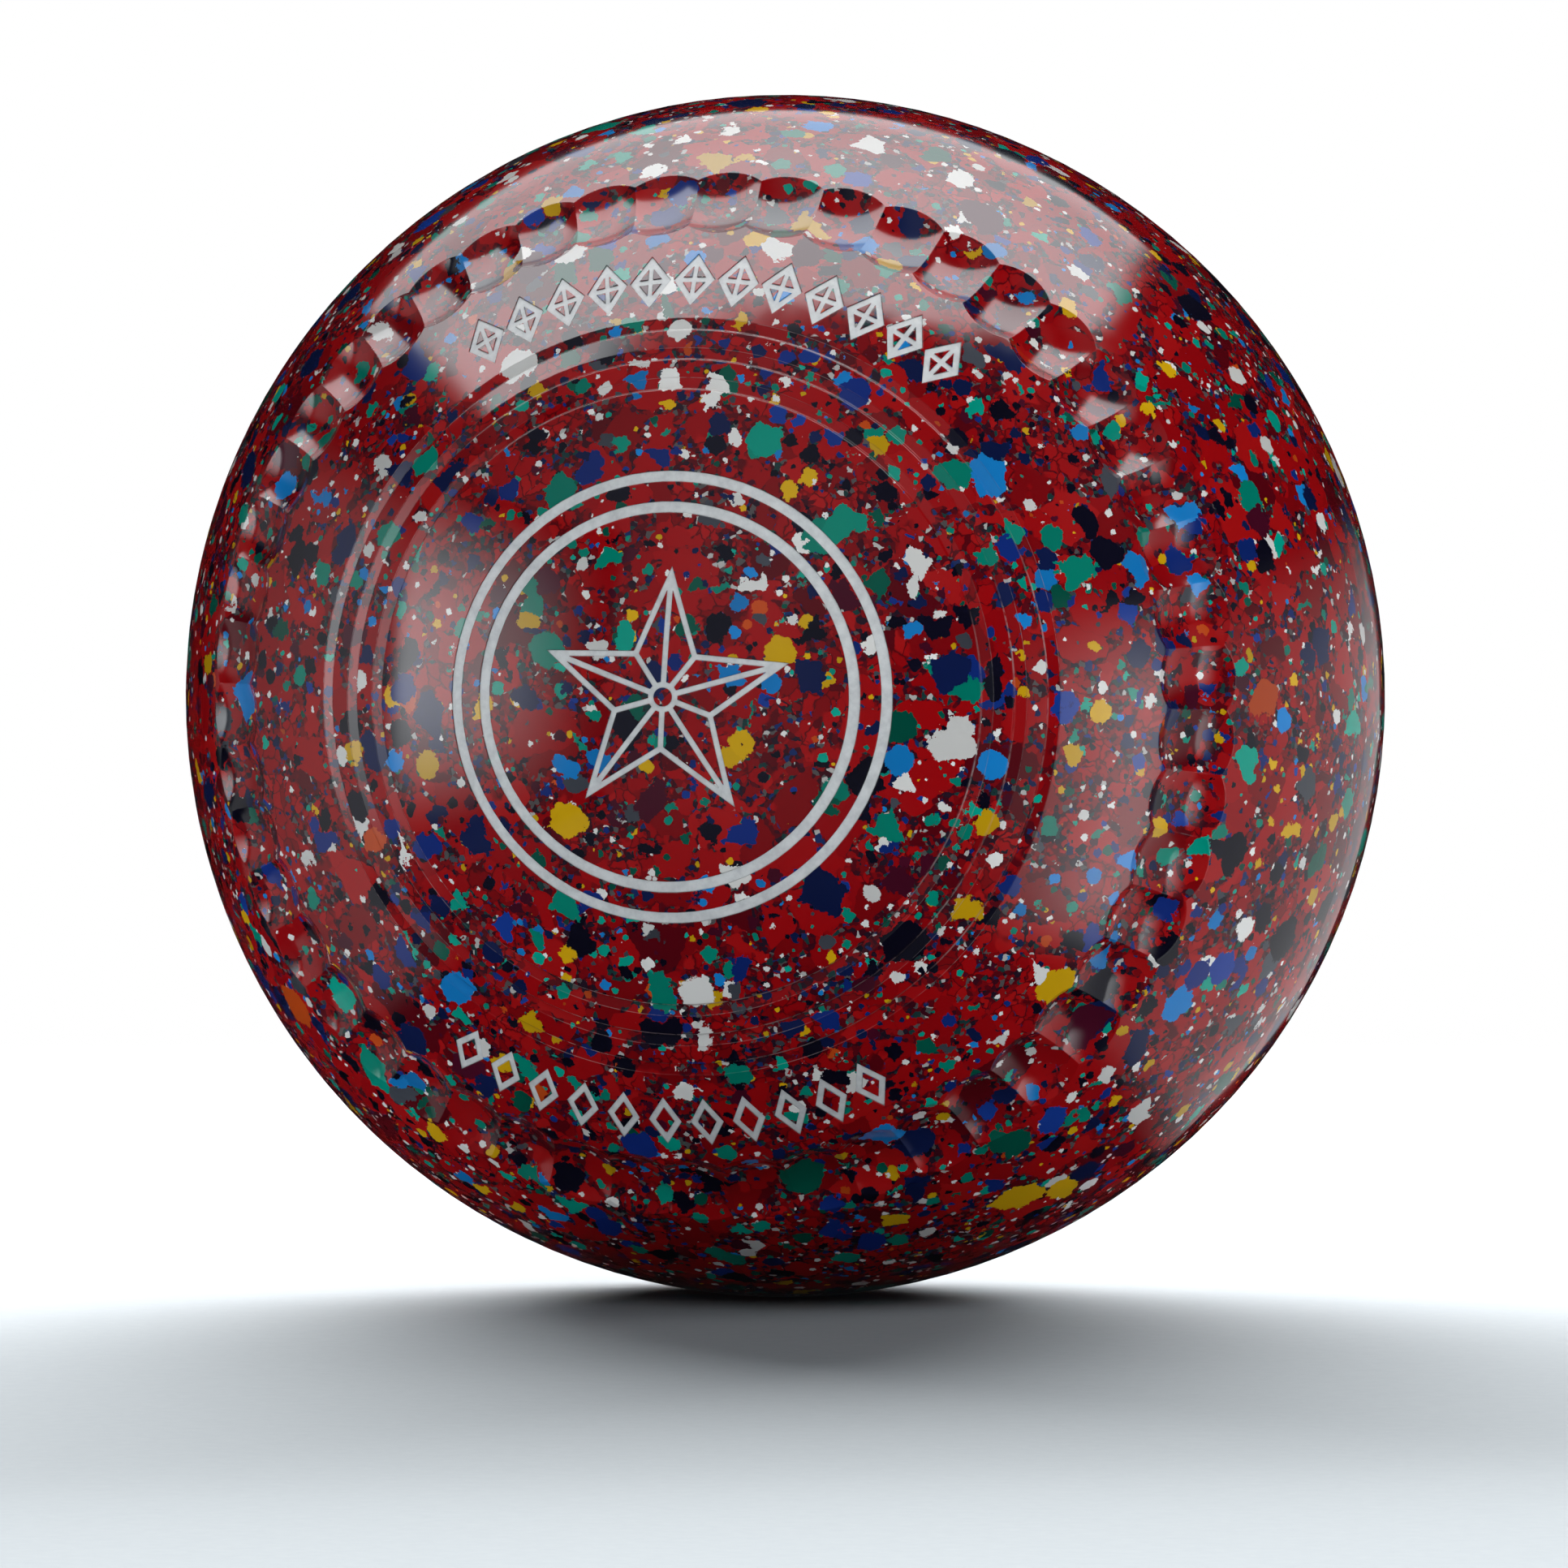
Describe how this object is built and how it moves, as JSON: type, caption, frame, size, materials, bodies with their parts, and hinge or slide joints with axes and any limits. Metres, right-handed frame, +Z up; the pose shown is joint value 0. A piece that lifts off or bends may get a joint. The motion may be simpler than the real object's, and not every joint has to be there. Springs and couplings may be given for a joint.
{
  "type": "lawn bowl",
  "caption": "Biased ball for lawn bowls: a squat, glossy speckled resin ball with a ring of grip hollows and enamel-filled engraving on its faces. It rolls on its crown.",
  "frame": {"origin": "centre of the ball, midway between the two faces on the rolling axis", "axes": "+Y along the rolling axis towards the plainer face, the fully marked face towards -Y, +Z up, so the bowl stands on its crown at -Z"},
  "size_m": [0.125, 0.1088, 0.125],
  "materials": {
    "resin": "polished, speckled all through with coloured flakes",
    "enamel": "satin, filled into the engraving by hand"
  },
  "bodies": {
    "root": {"bowl_body": "resin", "inner_ring_back": "enamel", "inner_ring_front": "enamel", "lower_mark_01": "enamel", "lower_mark_02": "enamel", "lower_mark_03": "enamel", "lower_mark_04": "enamel", "lower_mark_05": "enamel", "lower_mark_06": "enamel", "lower_mark_07": "enamel", "lower_mark_08": "enamel", "lower_mark_09": "enamel", "lower_mark_10": "enamel", "lower_mark_11": "enamel", "outer_ring_back": "enamel", "outer_ring_front": "enamel", "star_back": "enamel", "star_front": "enamel", "upper_mark_01": "enamel", "upper_mark_02": "enamel", "upper_mark_03": "enamel", "upper_mark_04": "enamel", "upper_mark_05": "enamel", "upper_mark_06": "enamel", "upper_mark_07": "enamel", "upper_mark_08": "enamel", "upper_mark_09": "enamel", "upper_mark_10": "enamel", "upper_mark_11": "enamel", "upper_mark_12": "enamel"}
  },
  "joints": []
}
